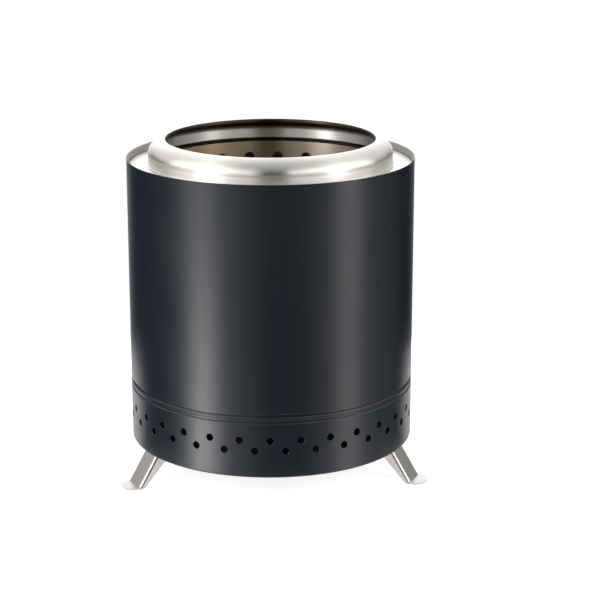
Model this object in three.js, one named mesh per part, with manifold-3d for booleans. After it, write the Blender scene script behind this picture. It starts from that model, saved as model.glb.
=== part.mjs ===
// Smokeless fire pit for a table top: a double-walled drum on three folding legs.
// Millimetres, +Z up. The origin is on the drum's axis, on the underside of its base plate.
// Azimuths are in degrees from -Y, the front, towards +X, the right.

import * as THREE from 'three';
import { mergeGeometries, mergeVertices } from 'three/addons/utils/BufferGeometryUtils.js';
import Module from 'manifold-3d';

const wasm = await Module();
wasm.setup();

// Drum: overall sizes

const bodyRadius = 90;
const shellSheet = 0.7;
const shellHeight = 180.8;
const shellEdgeBevel = 0.3;
const footClearance = 19.8;
const plateRecess = 13.1;
const clearance = 0.3;

// Base band: the painted lower band with its seam and its vents

const hemRadius = 1.2;
const bandWallHeight = 34.9;
const shoulderRadius = 0.9;
const lowerGrooveWidth = 1.2;
const lowerGrooveDepth = 0.65;
const beadHeight = 2.5;
const upperGrooveWidth = 1.9;
const neckOverlap = 7;
const ventRadius = 2.25;
const ventsPerRow = 30;
const lowerVentHeight = 17.1;
const upperVentHeight = 23.6;

// Base plate

const plateSheet = 1;
const plateCollarHeight = 8;

// Deck: the flat ring between the drum wall and the burn chamber

const deckDrop = 4.5;
const deckSheet = 0.8;
const deckBend = 0.5;
const deckCollarHeight = 8;
const chamberCollarHeight = 4.5;

// Burn chamber

const airGap = 16.3;
const chamberSheet = 0.8;
const chamberFloorHeight = 27;
const chamberFootDepth = 6;
const ledgeWidth = 15.2;
const ledgeBend = 1.5;
const airHoleRadius = 3.5;
const airHoleCount = 24;
const airHoleDrop = 15.4;
const airHoleAzimuth = 8.8;

// Flame ring

const ringSeatInset = 2.8;
const ringSheet = 0.8;
const ringBandHeight = 5.5;
const ringCreaseDepth = 0.4;
const ringCreaseHalfHeight = 0.5;
const ringWallHeight = 1.5;
const ringShoulderWidth = 19.5;
const ringShoulderHeight = 10;
const ringShoulderAngle = 60;
const ringLipRadius = 1.2;
const ringLipDepth = 0.8;
const ringFootBend = 0.6;
const ringFootEdge = 0.3;

// Fuel grate

const grateSheet = 1;
const grateRimWidth = 2.9;
const grateDishDepth = 3;
const grateDishGap = 0.5;
const grateHoleRadius = 3.5;
const grateFingerHoleRadius = 8;
const grateHoleMargin = 9;
const grateRowRadiusShares = [0.41, 0.7, 1];
const grateRowHoleCounts = [8, 14, 20];

// Ash pan

const panSheet = 0.7;
const panHeadroom = 4.8;
const panRimGap = 1;
const panRimWidth = 1.5;
const panWallSlope = 5;
const panBend = 2;

// Legs: a channel pressed from one sheet, with a round foot tab bent out at its lower end. The
// tab's corners have a share of half the leg's width as their radius.

const frontLegAzimuth = 62;
const legAzimuths = { front_left: -frontLegAzimuth, front_right: frontLegAzimuth, rear: 180 };
const legSplayAngle = 32.5;
const legSheet = 1.2;
const legWidth = 16.4;
const legBendRadius = 2;
const legEarRadius = 4.8;
const legFootFlange = 2.9;
const pivotDrop = 7.8;
const footTabStraight = 0.2;
const footTabCornerShare = 0.84;

// Leg brackets, pivot pins and rivets

const bracketSheet = 1.2;
const bracketEarRadius = 3.6;
const bracketReach = 9;
const pinRadius = 1.5;
const pinHeadRadius = 2.8;
const pinHeadHeight = 1.1;
const pinClearance = 0.25;
const rivetRadius = 1.4;
const rivetHeadRadius = 2.4;
const rivetHeadHeight = 0.9;
const rivetSpacing = 8.4;
const rivetInset = 4.6;
const headEdgeShare = 0.5;

// Fineness of the round forms, and how far a cutting shape runs past what it cuts

const drumSteps = 60;
const chamberSteps = 48;
const ringSteps = 48;
const panSteps = 40;
const ventSides = 8;
const airHoleSides = 10;
const grateHoleSides = 8;
const fastenerSides = 10;
const cutOverrun = 2;

// Heights above the base plate's underside, and radii, that follow from the sizes

const degree = Math.PI / 180;
const quarterTurn = Math.PI / 2;
const skirtEdge = -plateRecess;
const ground = skirtEdge - footClearance;
const rim = skirtEdge + shellHeight;
const deckTop = rim - deckDrop;
const shellFoot = skirtEdge + bandWallHeight + lowerGrooveWidth + beadHeight + upperGrooveWidth;
const innerWallRadius = bodyRadius - shellSheet;
const linerRadius = innerWallRadius - clearance;
const chamberRadius = bodyRadius - airGap;
const chamberInnerRadius = chamberRadius - chamberSheet;
const chamberFoot = chamberFloorHeight - chamberFootDepth;
const ledgeRadius = chamberRadius - ledgeWidth;
const ledgeTop = chamberFloorHeight + chamberSheet;
const grateRimFoot = ledgeTop + clearance;
const grateFloor = grateRimFoot - grateDishDepth;
const grateDishRadius = ledgeRadius - grateDishGap;

// A leg's outer face leans on the skirt's turned-in edge, at the edge's own height.
const splay = legSplayAngle * degree;
const hemTipRadius = bodyRadius - hemRadius;
const hemFlatRadius = hemTipRadius * Math.cos(Math.PI / drumSteps);
const legStopRadius = Math.sqrt(hemFlatRadius ** 2 - (legWidth / 2 - legBendRadius) ** 2)
  - clearance / Math.cos(splay);
const footRadius = legStopRadius + footClearance * Math.tan(splay);
const pivotHeight = -pivotDrop;
const pivotAlongLeg = (pivotHeight - ground + legEarRadius * Math.sin(splay)) / Math.cos(splay);
const pivotRadius = footRadius - pivotAlongLeg * Math.sin(splay) - legEarRadius * Math.cos(splay);
const bracketHalfWidth = legWidth / 2 + clearance + bracketSheet;
const rivetPlaces = [-rivetSpacing / 2, rivetSpacing / 2];

// Outlines and solids

function ellipse(centreX, centreY, width, height, fromDegrees, toDegrees, steps) {
  const points = [];
  for (let step = 0; step <= steps; step += 1) {
    const angle = (fromDegrees + ((toDegrees - fromDegrees) * step) / steps) * degree;
    points.push([centreX + width * Math.cos(angle), centreY + height * Math.sin(angle)]);
  }
  return points;
}

function arc(centreX, centreY, radius, fromDegrees, toDegrees, steps) {
  return ellipse(centreX, centreY, radius, radius, fromDegrees, toDegrees, steps);
}

// Turns an outline of [radius, height] points about the Z axis. The outline runs outwards and
// then upwards. It closes on itself, or starts and ends on the axis.
function turned(outline, steps) {
  const points = outline.map(([radius, height]) => new THREE.Vector2(radius, height));
  if (points[0].x > 0) {
    points.push(points[0].clone());
  }
  const geometry = new THREE.LatheGeometry(points, steps);
  geometry.rotateX(quarterTurn);
  return geometry;
}

// Extrudes an outline of [x, y] points upwards from z = 0.
function upright(outline, depth) {
  const shape = new THREE.Shape(outline.map(([x, y]) => new THREE.Vector2(x, y)));
  return new THREE.ExtrudeGeometry(shape, { depth, bevelEnabled: false, steps: 1 });
}

// Extrudes an outline of [x, z] points along Y, centred on the given y.
function sideways(outline, width, centreY) {
  const geometry = upright(outline, width);
  geometry.rotateX(quarterTurn);
  geometry.translate(0, centreY + width / 2, 0);
  return geometry;
}

function solidOf(geometry) {
  const bare = new THREE.BufferGeometry();
  bare.setAttribute('position', geometry.attributes.position.clone());
  bare.setIndex(geometry.index ? geometry.index.clone() : null);
  const merged = mergeVertices(bare);
  const corners = merged.index.array;
  const triangles = [];
  for (let first = 0; first < corners.length; first += 3) {
    const [a, b, c] = corners.slice(first, first + 3);
    if (a !== b && b !== c && c !== a) {
      triangles.push(a, b, c);
    }
  }
  return new wasm.Manifold(new wasm.Mesh({
    numProp: 3,
    vertProperties: new Float32Array(merged.attributes.position.array),
    triVerts: new Uint32Array(triangles),
  }));
}

function geometryOf(solid) {
  const mesh = solid.getMesh();
  const geometry = new THREE.BufferGeometry();
  geometry.setAttribute('position', new THREE.BufferAttribute(mesh.vertProperties, 3));
  geometry.setIndex(new THREE.BufferAttribute(mesh.triVerts, 1));
  geometry.computeVertexNormals();
  return geometry;
}

function withHoles(geometry, drills) {
  return geometryOf(solidOf(geometry).subtract(solidOf(mergeGeometries(drills))));
}

// A drill that points straight out from the axis.
function radialDrill(radius, sides, length, distance, azimuth, height) {
  const drill = new THREE.CylinderGeometry(radius, radius, length, sides);
  const turn = azimuth * degree;
  drill.rotateZ(turn);
  drill.translate(distance * Math.sin(turn), -distance * Math.cos(turn), height);
  return drill;
}

function uprightDrill(radius, sides, length, x, y, height) {
  const drill = new THREE.CylinderGeometry(radius, radius, length, sides);
  drill.rotateX(quarterTurn);
  drill.translate(x, y, height);
  return drill;
}

// A drill along Y, through the origin.
function pivotDrill(length) {
  const radius = pinRadius + pinClearance;
  return new THREE.CylinderGeometry(radius, radius, length, fastenerSides);
}

// A turned fastener along Z, centred on the origin, with a low bevelled head at each end.
function fastener(radius, headRadius, headHeight, grip) {
  const upper = [
    [radius, grip / 2],
    [headRadius, grip / 2],
    [headRadius, grip / 2 + headHeight * headEdgeShare],
    [radius, grip / 2 + headHeight],
    [0, grip / 2 + headHeight],
  ];
  const lower = upper.map(([r, z]) => [r, -z]).reverse();
  return turned([...lower, ...upper], fastenerSides);
}

// Finishes

function finish(color, roughness, metalness) {
  return new THREE.MeshStandardMaterial({ color, roughness, metalness });
}

const blackCoating = finish(0x24282e, 0.42, 0.25);
const satinStainless = finish(0xd6d4cf, 0.3, 0.95);
const heatedStainless = finish(0x8f8272, 0.38, 0.9);
const plateSteel = finish(0x8c8c8a, 0.45, 0.85);
const legStainless = finish(0xb9b6b0, 0.35, 0.95);

const pit = new THREE.Group();

function add(name, geometry, material, parent = pit) {
  const mesh = new THREE.Mesh(geometry, material);
  mesh.name = name;
  parent.add(mesh);
  return mesh;
}

// Outer shell: the painted drum wall above the seam

function shellGeometry() {
  return turned([
    [innerWallRadius, shellFoot],
    [bodyRadius - shellEdgeBevel, shellFoot],
    [bodyRadius, shellFoot + shellEdgeBevel],
    [bodyRadius, rim - shellEdgeBevel],
    [bodyRadius - shellEdgeBevel, rim],
    [innerWallRadius, rim],
  ], drumSteps);
}

add('outer_shell', shellGeometry(), blackCoating);

// Base band: hem, wall, shoulder, groove and bead, and a neck inside the shell's foot

function bandGeometry() {
  const neckInnerRadius = linerRadius - shellSheet;
  const hemHeight = skirtEdge + hemRadius;
  const wallTop = skirtEdge + bandWallHeight;
  const shoulder = [bodyRadius - shoulderRadius, wallTop - shoulderRadius];
  const grooveFloor = bodyRadius - lowerGrooveDepth;
  const beadCentre = wallTop + lowerGrooveWidth + beadHeight / 2;
  const bead = arc(0, 0, 1, -90, 90, 4).map(([out, up]) => [
    grooveFloor + lowerGrooveDepth * out,
    beadCentre + (beadHeight / 2) * up,
  ]);
  const outline = [
    [hemTipRadius, skirtEdge],
    ...arc(hemTipRadius, hemHeight, hemRadius, -45, 0, 1),
    ...arc(...shoulder, shoulderRadius, 0, 60, 2),
    [grooveFloor, wallTop],
    ...bead,
    [linerRadius, beadCentre + beadHeight / 2],
    [linerRadius, shellFoot + neckOverlap],
    [neckInnerRadius, shellFoot + neckOverlap],
    [neckInnerRadius, wallTop],
    [innerWallRadius, wallTop - beadHeight],
    [innerWallRadius, hemHeight],
    [hemTipRadius, skirtEdge + shellSheet],
  ];
  const pitch = 360 / ventsPerRow;
  const firstAzimuth = -180 / drumSteps;
  const length = shellSheet + 2 * cutOverrun;
  const distance = bodyRadius - shellSheet / 2;
  const drills = [];
  for (let vent = 0; vent < ventsPerRow; vent += 1) {
    const upper = firstAzimuth + vent * pitch;
    const lower = upper + pitch / 2;
    drills.push(
      radialDrill(ventRadius, ventSides, length, distance, upper, skirtEdge + upperVentHeight),
      radialDrill(ventRadius, ventSides, length, distance, lower, skirtEdge + lowerVentHeight),
    );
  }
  return withHoles(turned(outline, drumSteps), drills);
}

add('base_band', bandGeometry(), blackCoating);

// Deck ring: a collar inside the shell and a collar round the burn chamber

function deckGeometry() {
  const innerRadius = chamberRadius + clearance;
  return turned([
    [linerRadius - deckSheet, deckTop - deckCollarHeight],
    [linerRadius, deckTop - deckCollarHeight],
    [linerRadius, deckTop - deckBend],
    [linerRadius - deckBend, deckTop],
    [innerRadius, deckTop],
    [innerRadius, deckTop - chamberCollarHeight],
    [innerRadius + deckSheet, deckTop - chamberCollarHeight],
    [innerRadius + deckSheet, deckTop - deckSheet],
    [linerRadius - deckSheet, deckTop - deckSheet],
  ], drumSteps);
}

add('deck_ring', deckGeometry(), satinStainless);

// Burn chamber: a tube with secondary-air holes near its top

function chamberGeometry() {
  const outline = [
    [chamberInnerRadius, chamberFoot],
    [chamberRadius, chamberFoot],
    [chamberRadius, deckTop],
    [chamberInnerRadius, deckTop],
  ];
  const halfFacet = 180 / chamberSteps;
  const drills = [];
  for (let hole = 0; hole < airHoleCount; hole += 1) {
    const azimuth = halfFacet + (hole * 360) / airHoleCount;
    drills.push(radialDrill(airHoleRadius, airHoleSides, chamberSheet + 2 * cutOverrun,
      chamberRadius - chamberSheet / 2, azimuth, rim - airHoleDrop));
  }
  const geometry = withHoles(turned(outline, chamberSteps), drills);
  geometry.rotateZ((airHoleAzimuth - halfFacet) * degree);
  return geometry;
}

add('burn_chamber', chamberGeometry(), heatedStainless);

// Chamber floor: a ledge round the open floor, with a collar turned down inside the tube

function chamberFloorGeometry() {
  const collarRadius = chamberInnerRadius - clearance;
  const bend = [collarRadius - ledgeBend, ledgeTop - ledgeBend];
  return turned([
    [ledgeRadius, chamberFloorHeight],
    [collarRadius - chamberSheet, chamberFloorHeight],
    [collarRadius - chamberSheet, chamberFoot],
    [collarRadius, chamberFoot],
    ...arc(...bend, ledgeBend, 0, 90, 2),
    [ledgeRadius, ledgeTop],
  ], chamberSteps);
}

add('chamber_floor', chamberFloorGeometry(), heatedStainless);

// Flame ring: a band with a crease above it, a domed shoulder and a lip rolled in at the mouth.
// The shoulder is part of an ellipse, and the lip's roll carries on from its end.

function ringGeometry() {
  const wall = chamberRadius + ringSeatInset;
  const innerWall = wall - ringSheet;
  const foot = deckTop + clearance;
  const footBend = [wall + ringFootBend, foot + ringSheet + ringFootBend];
  const flange = wall + ringFootBend + ringFootEdge;
  const crease = foot + ringBandHeight;
  const creaseTop = crease + ringCreaseHalfHeight;
  const shoulder = [wall - ringShoulderWidth, crease + ringWallHeight];
  const across = ringShoulderWidth * Math.cos(ringShoulderAngle * degree);
  const up = ringShoulderHeight * Math.sin(ringShoulderAngle * degree);
  const lipAngle = Math.atan2(up / ringShoulderHeight ** 2, across / ringShoulderWidth ** 2);
  const lipX = shoulder[0] + across - ringLipRadius * Math.cos(lipAngle);
  const lipZ = shoulder[1] + up - ringLipRadius * Math.sin(lipAngle);
  const innerLip = ringLipRadius - ringSheet;
  return turned([
    ...arc(...footBend, ringSheet + ringFootBend, 180, 270, 3),
    [flange, foot],
    [flange, foot + ringSheet],
    ...arc(...footBend, ringFootBend, 270, 180, 2),
    [wall, crease - ringCreaseHalfHeight],
    [wall - ringCreaseDepth, crease],
    [wall, creaseTop],
    ...ellipse(...shoulder, ringShoulderWidth, ringShoulderHeight, 0, ringShoulderAngle, 7),
    ...arc(lipX, lipZ, ringLipRadius, lipAngle / degree, 180, 3).slice(1),
    [lipX - ringLipRadius, lipZ - ringLipDepth],
    [lipX - innerLip, lipZ - ringLipDepth],
    [lipX - innerLip, lipZ],
    ...ellipse(...shoulder, ringShoulderWidth - ringSheet, ringShoulderHeight - ringSheet,
      ringShoulderAngle, 0, 5),
    [innerWall, creaseTop],
    [innerWall - ringCreaseDepth, crease],
    [innerWall, crease - ringCreaseHalfHeight],
  ], ringSteps);
}

add('flame_ring', ringGeometry(), satinStainless);

// Base plate: a disc with its edge turned down inside the base band

function plateGeometry() {
  const outline = [
    [0, 0],
    [linerRadius - plateSheet, 0],
    [linerRadius - plateSheet, -plateCollarHeight],
    [linerRadius, -plateCollarHeight],
    [linerRadius, plateSheet],
    [0, plateSheet],
  ];
  const drills = [];
  for (const azimuth of Object.values(legAzimuths)) {
    for (const place of rivetPlaces) {
      const drill = uprightDrill(rivetRadius + pinClearance, fastenerSides,
        plateSheet + 2 * cutOverrun, pivotRadius - rivetInset, place, plateSheet / 2);
      drill.rotateZ(azimuth * degree - quarterTurn);
      drills.push(drill);
    }
  }
  return withHoles(turned(outline, drumSteps), drills);
}

add('base_plate', plateGeometry(), blackCoating);

// Fuel grate: a perforated dish that sits in the chamber's open floor, with a finger hole

function grateGeometry() {
  const rimFoot = grateRimFoot;
  const outline = [
    [0, grateFloor],
    [grateDishRadius - grateSheet, grateFloor],
    [grateDishRadius, grateFloor + grateSheet],
    [grateDishRadius, rimFoot],
    [grateDishRadius + grateRimWidth, rimFoot],
    [grateDishRadius + grateRimWidth, rimFoot + grateSheet],
    [grateDishRadius - grateSheet, rimFoot + grateSheet],
    [grateDishRadius - grateSheet, grateFloor + grateSheet],
    [0, grateFloor + grateSheet],
  ];
  const length = grateSheet + 2 * cutOverrun;
  const middle = grateFloor + grateSheet / 2;
  const outerRowRadius = grateDishRadius - grateHoleMargin;
  const drills = [uprightDrill(grateFingerHoleRadius, 2 * grateHoleSides, length, 0, 0, middle)];
  grateRowRadiusShares.forEach((share, row) => {
    const count = grateRowHoleCounts[row];
    const radius = outerRowRadius * share;
    for (let hole = 0; hole < count; hole += 1) {
      const turn = ((hole + row / 2) * 360 * degree) / count;
      drills.push(uprightDrill(grateHoleRadius, grateHoleSides, length,
        radius * Math.cos(turn), radius * Math.sin(turn), middle));
    }
  });
  return withHoles(turned(outline, panSteps), drills);
}

add('fuel_grate', grateGeometry(), heatedStainless);

// Ash pan: a shallow pan that passes the chamber's open floor

function panGeometry() {
  const rimRadius = ledgeRadius - panRimGap;
  const wallTopRadius = rimRadius - panRimWidth;
  const floorRadius = wallTopRadius - panWallSlope;
  const floor = plateSheet + clearance;
  const top = grateFloor - panHeadroom;
  return turned([
    [0, floor],
    [floorRadius - panBend, floor],
    [floorRadius, floor + panBend],
    [wallTopRadius, top - panSheet],
    [rimRadius, top - panSheet],
    [rimRadius, top],
    [wallTopRadius - panSheet, top],
    [floorRadius - panSheet, floor + panBend],
    [floorRadius - panBend, floor + panSheet],
    [0, floor + panSheet],
  ], panSteps);
}

add('ash_pan', panGeometry(), plateSteel);

// Legs. In a leg's own frame X points out from the drum, Y runs along the pivot, Z is up and the
// pivot is the origin. The channel is drawn lying on its face: across the sheet, then inwards
// from the outer face, then up the leg from where the outer face meets the ground.

function channelGeometry() {
  const half = legWidth / 2;
  const bendCentre = half - legBendRadius;
  const innerBend = legBendRadius - legSheet;
  const depth = 2 * legEarRadius + cutOverrun;
  const height = pivotAlongLeg + legEarRadius + cutOverrun;
  const outside = upright([
    [-half, depth],
    ...arc(-bendCentre, legBendRadius, legBendRadius, 180, 270, 3),
    ...arc(bendCentre, legBendRadius, legBendRadius, 270, 360, 3),
    [half, depth],
  ], height);
  const inside = upright([
    [legSheet - half, depth + cutOverrun],
    ...arc(-bendCentre, legBendRadius, innerBend, 180, 270, 2),
    ...arc(bendCentre, legBendRadius, innerBend, 270, 360, 2),
    [half - legSheet, depth + cutOverrun],
  ], height + 2 * cutOverrun);
  inside.translate(0, 0, -cutOverrun);
  const side = upright([
    [0, 0],
    [legFootFlange, legFootFlange * Math.tan(splay)],
    ...arc(legEarRadius, pivotAlongLeg, legEarRadius, 0, 180, 8),
  ], legWidth + 2 * cutOverrun);
  side.translate(0, 0, -half - cutOverrun);
  side.applyMatrix4(new THREE.Matrix4().makeBasis(
    new THREE.Vector3(0, 1, 0),
    new THREE.Vector3(0, 0, 1),
    new THREE.Vector3(1, 0, 0),
  ));
  const channel = geometryOf(solidOf(outside).intersect(solidOf(side)).subtract(solidOf(inside)));
  channel.applyMatrix4(new THREE.Matrix4().makeBasis(
    new THREE.Vector3(0, 1, 0),
    new THREE.Vector3(-Math.cos(splay), 0, -Math.sin(splay)),
    new THREE.Vector3(-Math.sin(splay), 0, Math.cos(splay)),
  ));
  return channel;
}

function footTabGeometry() {
  const half = legWidth / 2;
  const heel = -legSheet / Math.cos(splay);
  const cornerRadius = half * footTabCornerShare;
  const cornerY = half - cornerRadius;
  return upright([
    [heel, -half],
    ...arc(footTabStraight, -cornerY, cornerRadius, 270, 360, 5),
    ...arc(footTabStraight, cornerY, cornerRadius, 0, 90, 5),
    [heel, half],
  ], legSheet);
}

function legGeometry() {
  const leg = geometryOf(solidOf(channelGeometry()).add(solidOf(footTabGeometry())));
  leg.translate(footRadius - pivotRadius, 0, ground - pivotHeight);
  return withHoles(leg, [pivotDrill(legWidth + 2 * cutOverrun)]);
}

// Brackets: a bridge under the base plate with an ear down each side of the leg

function bracketGeometry() {
  const top = pivotDrop - clearance;
  const ear = [
    [-bracketReach, top],
    ...arc(0, 0, bracketEarRadius, 180, 360, 4),
    [bracketEarRadius, top],
  ];
  const earCentre = bracketHalfWidth - bracketSheet / 2;
  const bridge = upright([
    [-bracketReach, -bracketHalfWidth],
    [bracketEarRadius, -bracketHalfWidth],
    [bracketEarRadius, bracketHalfWidth],
    [-bracketReach, bracketHalfWidth],
  ], bracketSheet);
  bridge.translate(0, 0, top - bracketSheet);
  const frame = solidOf(sideways(ear, bracketSheet, earCentre))
    .add(solidOf(sideways(ear, bracketSheet, -earCentre)))
    .add(solidOf(bridge));
  const rivetDrills = rivetPlaces.map((place) => uprightDrill(rivetRadius + pinClearance,
    fastenerSides, bracketSheet + 2 * cutOverrun, -rivetInset, place, top - bracketSheet / 2));
  return withHoles(geometryOf(frame), [pivotDrill(2 * (bracketHalfWidth + cutOverrun)), ...rivetDrills]);
}

function pinGeometry() {
  const grip = 2 * (bracketHalfWidth + clearance);
  const pin = fastener(pinRadius, pinHeadRadius, pinHeadHeight, grip);
  pin.rotateX(quarterTurn);
  return pin;
}

function rivetGeometry() {
  const grip = plateSheet + bracketSheet + 3 * clearance;
  return fastener(rivetRadius, rivetHeadRadius, rivetHeadHeight, grip);
}

for (const [place, azimuth] of Object.entries(legAzimuths)) {
  const station = new THREE.Group();
  station.rotation.z = azimuth * degree - quarterTurn;
  pit.add(station);
  const pivot = new THREE.Vector3(pivotRadius, 0, pivotHeight);
  add(`leg_${place}`, legGeometry(), legStainless, station).position.copy(pivot);
  add(`leg_bracket_${place}`, bracketGeometry(), plateSteel, station).position.copy(pivot);
  add(`leg_pin_${place}`, pinGeometry(), legStainless, station).position.copy(pivot);
  rivetPlaces.forEach((side, index) => {
    const rivet = add(`bracket_rivet_${place}_${index + 1}`, rivetGeometry(), legStainless, station);
    rivet.position.set(pivotRadius - rivetInset, side, (plateSheet - clearance - bracketSheet) / 2);
  });
}

export default pit;
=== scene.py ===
"""Smokeless fire pit for a table top: the finished look of its sheet-metal pieces.

Lengths are in metres, with +Z up. The origin is on the drum's axis, on the underside of its
base plate. Azimuths are measured from -Y, the front, towards +X, the right.
"""

from math import atan2, cos, degrees, pi, radians, sin, tan

import bmesh
import bpy
from mathutils import Matrix, Vector


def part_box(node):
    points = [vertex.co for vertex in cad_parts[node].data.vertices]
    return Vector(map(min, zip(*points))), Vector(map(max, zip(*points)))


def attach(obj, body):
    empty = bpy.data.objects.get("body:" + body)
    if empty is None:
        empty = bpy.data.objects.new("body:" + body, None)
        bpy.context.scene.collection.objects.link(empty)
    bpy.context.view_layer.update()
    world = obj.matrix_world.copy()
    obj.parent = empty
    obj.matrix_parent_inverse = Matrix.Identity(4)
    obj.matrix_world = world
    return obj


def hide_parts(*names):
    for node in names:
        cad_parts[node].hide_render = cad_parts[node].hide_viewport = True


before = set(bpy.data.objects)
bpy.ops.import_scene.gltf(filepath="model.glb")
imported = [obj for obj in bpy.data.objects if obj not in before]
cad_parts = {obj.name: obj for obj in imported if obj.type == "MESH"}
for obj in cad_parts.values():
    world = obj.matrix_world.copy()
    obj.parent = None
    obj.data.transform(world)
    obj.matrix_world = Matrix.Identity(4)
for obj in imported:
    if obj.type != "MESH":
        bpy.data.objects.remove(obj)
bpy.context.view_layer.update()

bl_info = {
    "name": "Smokeless fire pit",
    "version": (1, 0, 0),
    "blender": (4, 5, 0),
    "location": "View3D > Sidebar > Fire pit",
    "description": "Builds a table-top smokeless fire pit piece by piece, and a stage for it",
    "category": "Add Mesh",
}

MM = 0.001
# Between sheets that spot welds join, and round what goes through a hole.
GAP = 0.3 * MM
BORE_PLAY = 0.25 * MM
# How far a cutter reaches past what it cuts.
CUT_OVERRUN = 2 * MM
# Facets round the turned pieces, the punched holes and the floor.
DRUM_STEPS = 360
RING_STEPS = 288
PAN_STEPS = 192
HOLE_SIDES = 32
FLOOR_STEPS = 144
FLOOR_SHEET = 1 * MM
# Edges sharper than this stay sharp, or are eased.
SMOOTH_ANGLE = radians(33)
# How far a face of a turned piece leans in or down to take the finish of its inside.
INWARD_LEAN = -0.35
DOWNWARD_LEAN = -0.3
# The most of a side that the rounding of one of its corners uses up.
CORNER_SHARE = 0.45
LEG_AZIMUTHS = {"front_left": radians(-62), "front_right": radians(62), "rear": pi}
# Each row's share of the outer row's radius, and its holes.
GRATE_ROWS = [(0.41, 8), (0.7, 14), (1, 20)]
WHITE = (1, 1, 1, 1)


def extent(node, axis, end):
    """One coordinate of a CAD node's box: end 0 is its lowest, 1 its highest."""
    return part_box(node)[end][axis]


BODY_RADIUS = extent("outer_shell", 0, 1)
SHELL_FOOT = extent("outer_shell", 2, 0)
RIM = extent("outer_shell", 2, 1)
SKIRT_EDGE = extent("base_band", 2, 0)
DECK_TOP = extent("deck_ring", 2, 1)
CHAMBER_FOOT = extent("burn_chamber", 2, 0)
LEDGE_TOP = extent("chamber_floor", 2, 1)
RING_FOOT = extent("flame_ring", 2, 0)
GROUND = extent("leg_rear", 2, 0)


def linear(hex_colour):
    """An sRGB hex colour as linear red, green, blue and alpha."""
    channels = [((hex_colour >> shift) & 255) / 255 for shift in (16, 8, 0)]
    return [c / 12.92 if c <= 0.04045 else ((c + 0.055) / 1.055) ** 2.4 for c in channels] + [1.0]


def length(name, description, default, **options):
    return bpy.props.FloatProperty(
        name=name, description=description, default=default, unit="LENGTH", precision=5, **options)


def angle(name, description, default):
    return bpy.props.FloatProperty(
        name=name, description=description, default=radians(default), unit="ROTATION")


def count(name, description, default):
    return bpy.props.IntProperty(name=name, description=description, default=default, min=1)


def number(name, description, default, **options):
    return bpy.props.FloatProperty(
        name=name, description=description, default=default, **options)


def colour(name, description, hex_colour):
    return bpy.props.FloatVectorProperty(
        name=name, description=description, default=linear(hex_colour), size=4,
        subtype="COLOR", min=0, max=1)


class PitDrumSizes(bpy.types.PropertyGroup):
    """Sizes of the outer shell, its base band, the deck and the base plate"""

    radius: length("Drum radius", "Outside of the painted wall", BODY_RADIUS)
    sheet: length("Wall sheet", "Thickness of the shell and of the base band", 0.7 * MM)
    rim: length("Rim height", "Top of the shell, above the base plate's underside", RIM)
    edge: length("Edge rounding", "Radius that a cut sheet edge is eased to", 0.2 * MM)
    shell_foot: length("Shell foot", "Lower end of the shell, above the seam's bead", SHELL_FOOT)
    skirt_edge: length("Skirt edge", "Lowest point of the base band", SKIRT_EDGE)
    hem_radius: length("Hem radius", "Round of the turned-in edge under the band", 1.2 * MM)
    band_wall: length("Band wall", "Height of the band below its seam", 34.9 * MM)
    shoulder: length("Shoulder", "Round at the top of the band's wall", 0.9 * MM)
    groove_width: length("Groove width", "Height of the groove under the bead", 1.2 * MM)
    groove_depth: length("Groove depth", "How far the seam is drawn in", 0.65 * MM)
    bead: length("Bead", "Height of the bead in the seam", 2.5 * MM)
    neck: length("Neck", "Overlap of the band inside the shell's foot", 7 * MM)
    vent_radius: length("Vent radius", "Round air vents in the base band", 2.25 * MM)
    vents: count("Vents per row", "Air vents in each of the two rows", 30)
    vent_low: length("Lower vents", "Height of the lower row above the skirt edge", 17.1 * MM)
    vent_high: length("Upper vents", "Height of the upper row above the skirt edge", 23.6 * MM)
    vent_turn: angle("Vent turn", "Azimuth of the first vent of the upper row", -3)
    plate_sheet: length("Plate sheet", "Thickness of the base plate", 1 * MM)
    plate_collar: length("Plate collar", "Depth of the base plate's turned-down edge", 8 * MM)
    deck_top: length("Deck height", "Top of the deck ring", DECK_TOP)
    deck_sheet: length("Deck sheet", "Thickness of the deck ring", 0.8 * MM)
    deck_collar: length("Deck collar", "Depth of the deck's outer collar", 8 * MM)
    deck_inner_collar: length("Inner collar", "Depth of the collar round the chamber", 4.5 * MM)


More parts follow.
